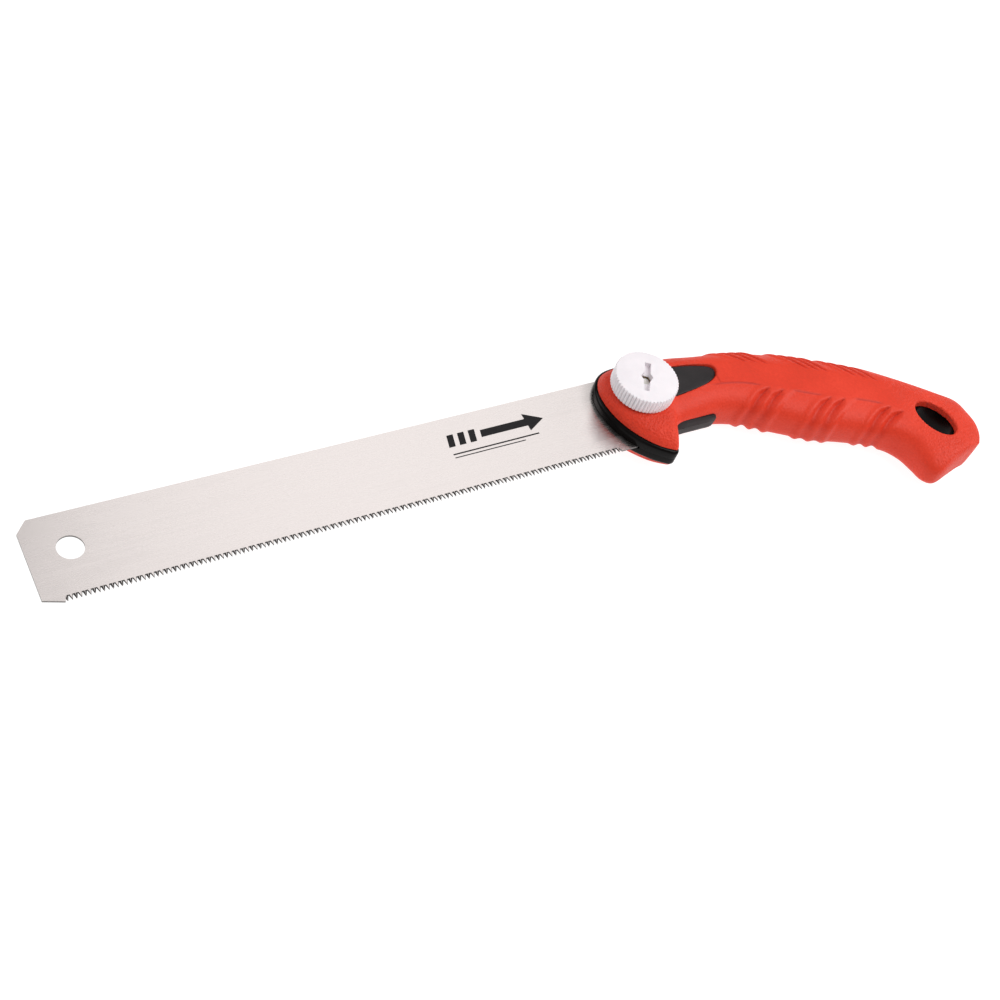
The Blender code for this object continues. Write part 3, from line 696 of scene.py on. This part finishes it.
def grip_surface():
    rows, along = grip_rows()
    angles = column_angles()
    across, rise = section_curve(angles)
    middle = (rows[:, 0:2] + rows[:, 2:4]) / 2
    reach = (rows[:, 2:4] - rows[:, 0:2]) / 2
    height = np.where(rise > 0, rise * rows[:, 4:5], rise * rows[:, 5:6])
    points = np.stack([middle[:, 0:1] + across * reach[:, 0:1],
                       middle[:, 1:2] + across * reach[:, 1:2], height], axis=2)
    tangent = np.gradient(points, axis=0)
    round_step = np.roll(points, -1, axis=1) - np.roll(points, 1, axis=1)
    normals = np.cross(round_step, tangent)
    normals /= np.linalg.norm(normals, axis=2, keepdims=True) + 1e-9
    top = GRIP_COLUMNS // 4
    if normals[len(rows) // 2, top, 2] < 0:
        normals = -normals
    run = np.cumsum(np.linalg.norm(np.roll(points, -1, axis=1) - points, axis=2), axis=1)
    run = np.concatenate([np.zeros((len(rows), 1)), run[:, :-1]], axis=1)
    from_top = np.abs(run - run[:, top:top + 1])
    from_bottom = np.abs(run - run[:, 3 * top:3 * top + 1])
    arc = np.where(np.arange(GRIP_COLUMNS) <= 2 * top, from_top, from_bottom)
    arc -= PANEL_SHARE * np.linalg.norm(reach, axis=1)[:, None]
    spread = np.broadcast_to(along[:, None], arc.shape)
    belly, belly_shade = rib_relief(spread, arc, BELLY_GROUPS, BELLY_CREASES, BELLY_EDGE, BELLY_WIDEN)
    belly -= panel_rise(spread, arc, BELLY_STEP)
    full = smoothstep(spread, *FULL_START) * (1 - smoothstep(spread, *FULL_END))
    belly -= BELLY_FULL * full * smoothstep(arc, *PAD_DEEPEN)
    back, back_shade = rib_relief(spread, arc, BACK_GROUPS, BACK_CREASES, BACK_EDGE, BACK_WIDEN)
    back -= panel_rise(spread, arc, BACK_STEP)
    relief = np.where(across < 0, belly, back)
    # the surface, and the painted shade of its creases, valleys, pad ledge and panel front
    return points - normals * relief[..., None], np.where(across < 0, belly_shade, back_shade)


def distance_to(outline, xy):
    """Distance from points to a closed outline, and whether each lies inside it."""
    outline = np.asarray(outline, float)
    best = np.full(len(xy), 1e9)
    inside = np.zeros(len(xy), bool)
    for a, b in zip(outline, np.roll(outline, -1, axis=0)):
        edge = b - a
        t = np.clip(((xy - a) @ edge) / (edge @ edge + 1e-12), 0.0, 1.0)
        best = np.minimum(best, np.linalg.norm(xy - a - t[:, None] * edge, axis=1))
        crosses = (a[1] > xy[:, 1]) != (b[1] > xy[:, 1])
        at_x = a[0] + (xy[:, 1] - a[1]) * edge[0] / (edge[1] if edge[1] else 1e-12)
        inside ^= crosses & (xy[:, 0] < at_x)
    return best, inside


def round_over(points, outline, radius):
    """Round the skin's edge down where a window with this outline is cut through it."""
    near, inside = distance_to(outline, points[:, 0:2])
    inset = np.where(inside, radius, np.clip(radius - near, 0.0, radius))
    drop = radius - np.sqrt(np.maximum(radius ** 2 - inset ** 2, 0.0))
    wide = np.abs(points[:, 2]) > CORE_HALF + 2
    points[:, 2] -= np.where(wide, np.sign(points[:, 2]) * drop, 0.0)
    return points


def make_grip(red):
    surface, lines = grip_surface()
    rows, columns = surface.shape[:2]
    points = surface.reshape(-1, 3)
    leaf = grown(leaf_outline(), GAP)
    hang = hang_outline(0.0)
    collar = COLLAR_TOP + GAP
    points = round_over(points, leaf, LEAF_ROUND)
    points = round_over(points, hang, HANG_ROUND)
    grip = mesh_object("grip_skin", points, solid_faces(rows, columns))
    # painted shade kept on the skin's points, for the rubber's colour to darken by
    grip.data.attributes.new(SHADE_ATTRIBUTE, "FLOAT", "POINT").data.foreach_set("value", lines.ravel())
    space = CORE_HALF + GAP
    nose_space = space + 0.1
    window = strip_face(GAP / 2)
    window_ends = [[(x, y, z) for x, z in window] for y in (-THROUGH * 2, STRIP_ROOT_Y)]
    for cutter in (prism("core", grown(core_outline(), GAP), -space, space),
                   prism("nose", NOSE_SPACE, -nose_space, nose_space),
                   stack("strip", window_ends),
                   prism("leaf", leaf, -THROUGH, THROUGH),
                   prism("collar", hang_outline(COLLAR_WALL + GAP), -collar, collar),
                   prism("hang", hang, -THROUGH, THROUGH)):
        cut(grip, cutter, sharp=GRIP_SHARP)
    return coat(grip, red)


# ---- knob and clamp

def make_knob(white):
    """Knurled wheel with rounded rims; its ridges fade out where the rims round over."""
    count = KNURL_COUNT * RIDGE_POINTS
    turn = np.arange(count) * 2 * math.pi / count
    ridge = np.abs(np.sin(turn * KNURL_COUNT / 2)) ** RIDGE_POWER
    rings = []
    for z, inset in rounded_levels(KNOB_BOTTOM, KNOB_TOP, KNOB_ROUND, KNOB_ROUND):
        depth = KNURL_DEPTH * (1 - inset / KNOB_ROUND * RIDGE_FADE)
        radius = KNOB_R - inset - depth * (1 - ridge)
        rings.append([(*point, z) for point in zip(radius * np.cos(turn), radius * np.sin(turn))])
    knob = stack("clamp_knob", rings, 50.0)
    length, width, depth = COIN_SLOT
    c, s = math.cos(COIN_SLOT_ANGLE), math.sin(COIN_SLOT_ANGLE)
    along, side = Vector((c, s)) * length / 2, Vector((-s, c)) * width / 2
    slot = [-along - side, along - side, along + side, -along + side]
    nut_low, nut_high = NUT_LOW.z - MID_Z, NUT_HIGH.z - MID_Z
    cut(knob, prism("washer_space", circle(WASHER_R + GAP, 96), 0.0, nut_low - GAP),
        prism("nut_space", polygon_ring(NUT_HALF + GAP, 6, 24), 0.0, nut_high + GAP),
        prism("face_hole", polygon_ring(KNOB_HEX_HALF, 6, 12), 0.0, THROUGH * 2),
        prism("coin_slot", slot, KNOB_TOP - depth, THROUGH * 2), sharp=40.0)
    return coat(knob, white)


def turned(*profile):
    """Rings of a turned shape, from (radius, height) pairs."""
    return [at(circle(radius, TURN_POINTS), z) for radius, z in profile]


def thread_rings(radius, low, high):
    rings = []
    steps = int((high - low) / THREAD_PITCH * THREAD_LEVELS)
    for level in range(steps + 1):
        z = low + (high - low) * level / steps
        ring = []
        for i, (x, y) in enumerate(circle(1.0, TURN_POINTS)):
            phase = (z / THREAD_PITCH - i / TURN_POINTS) % 1.0
            reach = radius - THREAD_DEPTH * abs(2 * phase - 1)
            ring.append((reach * x, reach * y, z))
        rings.append(ring)
    return rings


def make_bolt(zinc):
    """Flat head with rounded rims, square neck, and a thread where the nut runs."""
    low, top = BOLT_LOW.z - MID_Z, BOLT_HIGH.z - MID_Z
    head, neck = low + BOLT_HEAD_THICK, low + BOLT_HEAD_THICK + BOLT_NECK_LENGTH
    thread_low = NUT_LOW.z - MID_Z - 3.0
    square = polygon_ring(BOLT_NECK_HALF, 4, TURN_POINTS)
    core_r = BOLT_R - THREAD_DEPTH
    rings = turned((BOLT_HEAD_R - 0.6, low), (BOLT_HEAD_R - 0.2, low + 0.15), (BOLT_HEAD_R, low + 0.6),
                   (BOLT_HEAD_R, head - 0.2), (BOLT_HEAD_R - 0.2, head))
    rings += [at(square, head), at(square, neck)]
    rings += turned((BOLT_R, neck), (BOLT_R, thread_low), (core_r, thread_low + 0.4))
    rings += thread_rings(BOLT_R, thread_low + 0.5, top - 0.6)
    rings += turned((core_r, top - 0.5), (core_r - 0.4, top))
    return coat(stack("clamp_screw", rings), zinc)


def make_nut(brass):
    """Hexagonal insert with broken edges and a bore a little wider than the thread."""
    low, high = NUT_LOW.z - MID_Z, NUT_HIGH.z - MID_Z
    hexagon, small = (polygon_ring(NUT_HALF - broken, 6, TURN_POINTS) for broken in (0.0, 0.25))
    rings = turned((BORE_R + 0.3, low))
    rings += [at(small, low), at(hexagon, low + 0.25), at(hexagon, high - 0.25), at(small, high)]
    rings += turned((BORE_R + 0.3, high), (BORE_R - 0.1, high - 0.4), (BORE_R - 0.1, low + 0.4))
    verts = [point for ring in rings for point in ring]
    faces = grid_faces(len(rings), TURN_POINTS, closed=True)
    return coat(mesh_object("knob_insert", verts, faces), brass)


# ---- materials

class Paint:
    """One procedural material, built with short calls."""

    def __init__(self, name, color, roughness, metallic=0.0):
        self.material = bpy.data.materials.new(name)
        self.material.use_nodes = True
        self.material.diffuse_color = (*color, 1.0)
        self.tree = self.material.node_tree
        self.shader = self.tree.nodes["Principled BSDF"]
        self.put("Base Color", (*color, 1.0))
        self.put("Roughness", roughness)
        self.put("Metallic", metallic)
        self.place = self.node("TexCoord", {}).outputs["Object"]

    def node(self, kind, inputs, **settings):
        """A new node whose inputs take these sockets or plain values."""
        made = self.tree.nodes.new("ShaderNode" + kind)
        for key, value in settings.items():
            setattr(made, key, value)
        for name, value in inputs.items():
            self.join(value, made.inputs[name])
        return made

    def put(self, name, value):
        """Set a constant on the shader's own socket."""
        self.shader.inputs[name].default_value = value

    def join(self, value, socket):
        """Link a socket, or set a plain value."""
        if isinstance(value, bpy.types.NodeSocket):
            self.tree.links.new(value, socket)
        else:
            socket.default_value = value

    def math(self, operation, a, b=0.0):
        return self.node("Math", {0: a, 1: b}, operation=operation).outputs[0]

    def noise(self, scale, detail=3.0, roughness=0.55, place=None):
        inputs = {"Vector": place or self.place, "Scale": scale, "Detail": detail, "Roughness": roughness}
        return self.node("TexNoise", inputs).outputs[0]

    def lines(self, scale, detail=2.0):
        """Noise that is stretched by another scale along each axis."""
        made = self.node("Mapping", {"Vector": self.place, "Scale": scale})
        return self.noise(1.0, detail, 0.6, made.outputs["Vector"])

    def cells(self, scale):
        inputs = {"Vector": self.place, "Scale": scale, "Smoothness": 0.6}
        return self.node("TexVoronoi", inputs, feature="SMOOTH_F1").outputs["Distance"]

    def sum(self, *terms):
        """The sum of (value, weight) terms."""
        parts = [self.math("MULTIPLY", value, weight) for value, weight in terms]
        total = parts.pop()
        while parts:
            total = self.math("ADD", parts.pop(), total)
        return total

    def span(self, value, low, high, to_low=0.0, to_high=1.0):
        """Map a value's range smoothly onto another."""
        inputs = {"Value": value, "From Min": low, "From Max": high, "To Min": to_low, "To Max": to_high}
        return self.node("MapRange", inputs, interpolation_type="SMOOTHSTEP").outputs["Result"]

    def ramp(self, value, *stops):
        """A colour ramp through (position, colour) stops."""
        made = self.node("ValToRGB", {"Fac": value})
        while len(made.color_ramp.elements) < len(stops):
            made.color_ramp.elements.new(0.5)
        for element, (position, color) in zip(made.color_ramp.elements, stops):
            element.position = position
            element.color = (*color, 1.0)
        return made.outputs["Color"]

    def blend(self, share, socket, color):
        """Mix a constant colour into a socket's, through the node's colour sockets."""
        inputs = {0: share, 6: socket, 7: (*color, 1.0)}
        return self.node("Mix", inputs, data_type="RGBA").outputs[2]

    def axis(self, name):
        return self.node("SeparateXYZ", {"Vector": self.place}).outputs[name]

    def color(self, value):
        self.join(value, self.shader.inputs["Base Color"])

    def roughness(self, value):
        self.join(value, self.shader.inputs["Roughness"])

    def bump(self, height, distance, strength=1.0):
        """Bump from a height; calls stack on each other."""
        inputs = {"Distance": distance * MM, "Strength": strength, "Height": height}
        made = self.node("Bump", inputs)
        normal = self.shader.inputs["Normal"]
        if normal.is_linked:
            self.join(normal.links[0].from_socket, made.inputs["Normal"])
        self.join(made.outputs["Normal"], normal)


def shade(color, factor):
    return tuple(channel * factor for channel in color)


def red_rubber():
    """Soft moulded grip: pebbled on the nose and the heel, finer on the ribs, smooth on the flat
    side panels, with a slightly darker and duller skin in places, and painted shade from the
    grip's attribute in the creases, over their valleys, at the pads' ledge and at the panel's front."""
    red = (0.72, 0.041, 0.015)
    paint = Paint("grip_rubber", red, 0.5)
    paint.put("Specular IOR Level", 0.26)
    x, z = paint.axis("X"), paint.axis("Z")
    nose = paint.span(x, 0.006, 0.012, 1.0, 0.0)
    heel = paint.span(x, 0.120, 0.132)
    ends = paint.math("MAXIMUM", nose, heel)
    near_panel = paint.span(z, 0.0242, 0.0248)
    far_panel = paint.span(z, 0.0002, 0.0008, 1.0, 0.0)
    panels = paint.math("MAXIMUM", near_panel, far_panel)
    ribs = paint.math("SUBTRACT", 0.38, paint.math("MULTIPLY", panels, 0.28))
    paint.bump(paint.cells(1050.0), 0.38, paint.math("MAXIMUM", ends, ribs))
    paint.bump(paint.noise(2600.0, 2.0), 0.03, 0.5)
    patches = paint.noise(45.0, 4.0)
    tone = paint.sum((patches, 0.6), (paint.noise(900.0, 2.0), 0.4))
    skin = paint.ramp(tone, (0.32, shade(red, 0.90)), (0.5, red), (0.68, (0.78, 0.052, 0.022)))
    # painted shade: the grip's attribute blends the creases, valleys, pad ledge and panel front towards a
    # deep red
    painted_shade = paint.node("Attribute", {}, attribute_name=SHADE_ATTRIBUTE).outputs["Fac"]
    paint.color(paint.blend(paint.math("MULTIPLY", painted_shade, 0.7), skin, (0.42, 0.010, 0.003)))
    paint.roughness(paint.math("ADD", paint.span(patches, 0.3, 0.7, 0.44, 0.54),
                               paint.math("MULTIPLY", ends, 0.06)))
    return paint.material


def black_plastic(name, black, roughness, specular):
    """Moulded core with a fine spark-eroded grain and a few rubbed, shinier places."""
    paint = Paint(name, black, roughness)
    paint.put("Specular IOR Level", specular)
    grain = paint.noise(2200.0, 3.0)
    rubbed = paint.noise(60.0, 4.0)
    paint.bump(grain, 0.03, 0.6)
    paint.color(paint.ramp(rubbed, (0.3, shade(black, 0.75)), (0.7, shade(black, 1.3))))
    paint.roughness(paint.span(rubbed, 0.35, 0.7, roughness - 0.05, roughness + 0.08))
    return paint.material


def white_nylon():
    """Slightly translucent moulded nylon with faint flow marks and a fine grain."""
    white = (0.88, 0.83, 0.86)
    paint = Paint("knob_nylon", white, 0.42)
    paint.put("Subsurface Weight", 0.12)
    paint.put("Subsurface Radius", (1.0, 0.8, 0.8))
    paint.put("Subsurface Scale", 0.0012)
    flow = paint.noise(160.0, 3.0)
    paint.color(paint.ramp(flow, (0.3, shade(white, 0.965)), (0.7, shade(white, 1.02))))
    paint.bump(paint.noise(2400.0, 2.0), 0.02, 0.5)
    paint.roughness(paint.span(flow, 0.3, 0.7, 0.38, 0.48))
    return paint.material


def brushed_steel():
    """Blade stock: fine lengthwise grinding lines, faint longer streaks, cloudy patches and a few
    darker pits, and painted shade next to the nose for the nose's shadow and dark reflection."""
    steel = (0.75, 0.692, 0.674)
    paint = Paint("blade_steel", steel, 0.22, 1.0)
    lines = paint.lines((28.0, 5200.0, 900.0))
    streaks = paint.lines((9.0, 420.0, 100.0), 3.0)
    tone = paint.sum((lines, 0.34), (streaks, 0.36), (paint.noise(70.0, 4.0), 0.30))
    skin = paint.ramp(tone, (0.34, shade(steel, 0.91)), (0.5, steel), (0.66, shade(steel, 1.05)))
    # painted shade: darker towards the nose, for its shadow and dark reflection on the blade
    along, across = (paint.math("POWER", paint.math("SUBTRACT", paint.axis(name), center * MM), 2.0)
                     for name, center in zip("XY", NOSE_SHADE_CENTER))
    reach = paint.math("SQRT", paint.math("ADD", along, across))
    nose_shade = paint.span(reach, NOSE_SHADE_REACH[0] * MM, NOSE_SHADE_REACH[1] * MM, 0.42, 0.0)
    paint.color(paint.blend(nose_shade, skin, shade(steel, 0.3)))
    paint.roughness(paint.span(tone, 0.35, 0.65, 0.22, 0.31))
    paint.bump(lines, 0.003, 0.4)
    pits = paint.span(paint.noise(620.0, 2.0), 0.70, 0.76)
    paint.bump(paint.math("SUBTRACT", 1.0, pits), 0.02, 0.4)
    return paint.material


def cut_steel(name, steel):
    """Hardened tooth facets or sheared edges, with lines across the blade's thickness."""
    paint = Paint(name, steel, 0.36, 1.0)
    lines = paint.lines((900.0, 900.0, 7000.0))
    paint.color(paint.ramp(lines, (0.3, shade(steel, 0.7)), (0.7, shade(steel, 1.3))))
    paint.roughness(paint.span(lines, 0.3, 0.7, 0.28, 0.42))
    paint.bump(lines, 0.01, 0.5)
    return paint.material


def plated_metal(name, color, roughness):
    """Bright plated or turned metal with faint lines, clouding and handling marks."""
    paint = Paint(name, color, roughness, 1.0)
    clouds = paint.noise(240.0, 4.0)
    lines = paint.lines((300.0, 300.0, 6000.0))
    paint.color(paint.ramp(clouds, (0.3, shade(color, 0.86)), (0.7, shade(color, 1.08))))
    paint.roughness(paint.span(lines, 0.3, 0.7, roughness - 0.07, roughness + 0.08))
    paint.bump(lines, 0.008, 0.5)
    return paint.material


def printing_ink():
    """Pad-printed black ink, a little thin in places."""
    ink = (0.006, 0.005, 0.006)
    paint = Paint("print_ink", ink, 0.5)
    paint.put("Specular IOR Level", 0.2)
    thin = paint.noise(700.0, 3.0)
    paint.color(paint.ramp(thin, (0.3, ink), (0.75, (0.016, 0.015, 0.016))))
    paint.roughness(paint.span(thin, 0.3, 0.7, 0.42, 0.6))
    paint.bump(thin, 0.005, 0.4)
    return paint.material


def floor_white():
    """A light table: it glows a little, so that shadows on it stay faint."""
    paint = Paint("studio_floor", (0.24, 0.24, 0.24), 0.9)
    paint.put("Specular IOR Level", 0.1)
    paint.put("Emission Color", (1.0, 1.0, 1.0, 1.0))
    paint.put("Emission Strength", 0.94)
    return paint.material


# ---- assembly

def fit(piece, body, slot_name, *nodes):
    """The piece rides on a body and stands for these CAD nodes, which it hides; slot_name is not used."""
    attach(piece, body)
    if nodes:
        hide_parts(*nodes)


def build_saw():
    matt = black_plastic("core_satin", (0.018, 0.014, 0.015), 0.42, 0.36)
    gloss = black_plastic("core_gloss", (0.005, 0.004, 0.004), 0.18, 0.09)
    dull = black_plastic("core_dull", (0.017, 0.011, 0.012), 0.42, 0.12)
    red = red_rubber()
    zinc = plated_metal("zinc_plate", (0.66, 0.64, 0.60), 0.30)
    brass = plated_metal("turned_brass", (0.80, 0.58, 0.30), 0.26)
    fit(make_core_half("core_near", 1, matt, gloss, dull), "handle", "core_black", "core_near_half")
    fit(make_core_half("core_far", -1, matt, gloss, dull), "handle", "core_black", "core_far_half")
    fit(make_grip(red), "handle", "grip_red", "grip_sleeve")
    fit(make_bolt(zinc), "handle", "zinc_steel", "clamp_bolt")
    fit(make_knob(white_nylon()), "knob", "knob_white", "knob_body")
    fit(make_nut(brass), "knob", "brass", "knob_nut")
    facets = cut_steel("tooth_facets", (0.13, 0.123, 0.12))
    sheared = cut_steel("sheared_edge", (0.17, 0.16, 0.155))
    fit(make_blade(brushed_steel(), facets, sheared), "blade", "blade_steel", "blade")
    fit(make_print(printing_ink()), "blade", "core_black")
    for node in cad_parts.values():
        if not node.hide_render:
            coat(node, zinc)


# ---- stage, light and camera

CAMERA_AT = (-428.4, -343.8, 558.6)
CAMERA_TURN = (37.704, -15.3765, -28.3825)  # degrees round x, y and z
CAMERA_LENS = 60.516
SAW_MIDDLE = (-0.06, -0.01, 0.01)


def make_floor():
    bpy.ops.mesh.primitive_plane_add(size=8.0, location=(0.0, 0.0, -0.0002))
    floor = bpy.context.object
    floor.name = "studio_floor"
    coat(floor, floor_white())


def make_light(name, towards, distance, size, power):
    """A square area light in a direction from the saw's middle, turned to face it."""
    direction = Vector(towards).normalized()
    data = bpy.data.lights.new(name, "AREA")
    data.shape = "SQUARE"
    data.size = size
    data.energy = power
    light = bpy.data.objects.new(name, data)
    light.location = Vector(SAW_MIDDLE) + direction * distance
    light.rotation_euler = direction.to_track_quat("Z", "Y").to_euler()
    bpy.context.scene.collection.objects.link(light)


def make_world():
    world = bpy.data.worlds.new("studio")
    world.use_nodes = True
    background = world.node_tree.nodes["Background"]
    background.inputs["Color"].default_value = (1.0, 1.0, 1.0, 1.0)
    background.inputs["Strength"].default_value = 0.24
    bpy.context.scene.world = world


def make_camera():
    data = bpy.data.cameras.new("camera")
    data.sensor_width = 36.0
    data.lens = CAMERA_LENS
    data.clip_end = 20.0
    camera = bpy.data.objects.new("camera", data)
    camera.location = Vector(CAMERA_AT) * MM
    camera.rotation_euler = [math.radians(angle) for angle in CAMERA_TURN]
    bpy.context.scene.collection.objects.link(camera)
    bpy.context.scene.camera = camera


build_saw()
make_floor()
make_world()
make_light("overhead", (0.30, -0.35, 0.85), 1.5, 1.0, 12.5)
make_light("key", (0.85, -0.15, 0.50), 1.5, 0.7, 6.5)
make_light("window", (0.36, 0.49, 0.79), 1.5, 0.9, 2.6)
make_light("side", (-0.50, 0.62, 0.60), 1.4, 0.8, 6.0)
make_light("fill", (-0.85, -0.35, 0.30), 1.4, 0.9, 1.3)
make_camera()
bpy.context.scene.view_settings.view_transform = "Standard"
